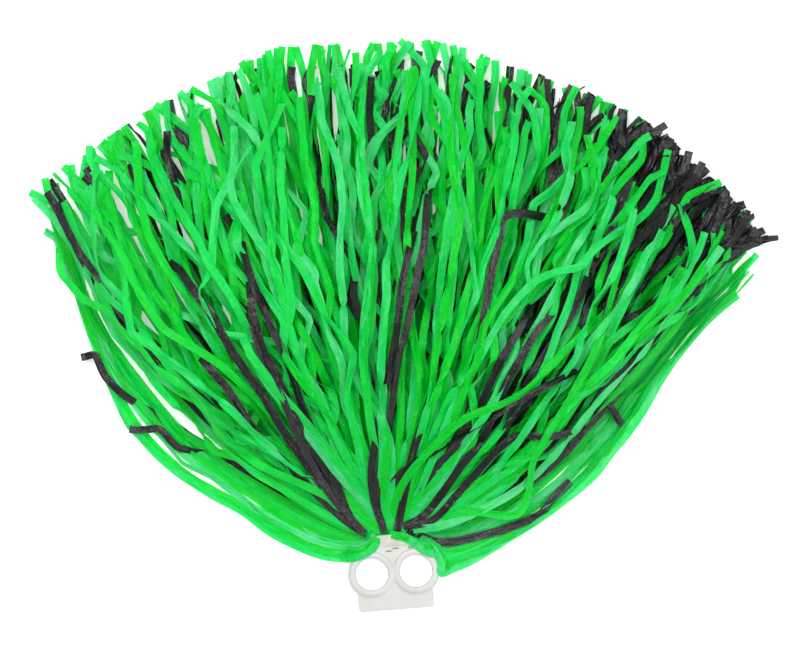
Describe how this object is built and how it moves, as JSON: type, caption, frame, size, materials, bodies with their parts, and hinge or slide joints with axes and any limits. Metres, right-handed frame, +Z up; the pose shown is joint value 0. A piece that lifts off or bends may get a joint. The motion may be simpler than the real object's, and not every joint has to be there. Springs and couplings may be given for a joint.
{
  "type": "cheer pom pom",
  "caption": "Cheerleading pom pom: slit sheets of glossy film in two colours, gathered, taped and stapled to a plastic handle with finger rings, fanned out flat.",
  "frame": {"origin": "middle of the footprint of the whole pom pom, on the table that it lies on", "axes": "+Z up along the finger holes, +X across the two finger rings from left to right, +Y from the grip plate to the streamers' tips"},
  "size_m": [0.5666, 0.4477, 0.0875],
  "materials": {
    "white_plastic": "satin",
    "staple_wire": "satin",
    "binding_tape": "satin",
    "green_film": "gloss",
    "black_film": "gloss"
  },
  "bodies": {
    "handle": {"handle": "white_plastic", "staple": "staple_wire", "binding_tape": "binding_tape", "sheet_1_header": "green_film", "sheet_2_header": "black_film", "sheet_3_header": "green_film", "sheet_4_header": "black_film", "sheet_5_header": "green_film", "sheet_6_header": "green_film", "sheet_7_header": "black_film", "sheet_8_header": "green_film"},
    "bottom_leaf": {"sheet_1_streamers": "green_film", "sheet_2_streamers": "black_film"},
    "lower_leaf": {"sheet_3_streamers": "green_film"},
    "middle_leaf": {"sheet_4_streamers": "black_film", "sheet_5_streamers": "green_film"},
    "upper_leaf": {"sheet_6_streamers": "green_film"},
    "top_leaf": {"sheet_7_streamers": "black_film", "sheet_8_streamers": "green_film"}
  },
  "joints": [
    {"name": "bottom_leaf_bend", "type": "hinge", "parent": "handle", "child": "bottom_leaf", "pos_m": [-0.024, -0.164, 0.00528], "axis": [1, 0, 0], "range_deg": [0, 30]},
    {"name": "lower_leaf_bend", "type": "hinge", "parent": "bottom_leaf", "child": "lower_leaf", "pos_m": [-0.024, -0.164, 0.00528], "axis": [1, 0, 0], "range_deg": [0, 15]},
    {"name": "middle_leaf_bend", "type": "hinge", "parent": "lower_leaf", "child": "middle_leaf", "pos_m": [-0.024, -0.164, 0.00528], "axis": [1, 0, 0], "range_deg": [0, 15]},
    {"name": "upper_leaf_bend", "type": "hinge", "parent": "middle_leaf", "child": "upper_leaf", "pos_m": [-0.024, -0.164, 0.00528], "axis": [1, 0, 0], "range_deg": [0, 15]},
    {"name": "top_leaf_bend", "type": "hinge", "parent": "upper_leaf", "child": "top_leaf", "pos_m": [-0.024, -0.164, 0.00528], "axis": [1, 0, 0], "range_deg": [0, 15]}
  ]
}
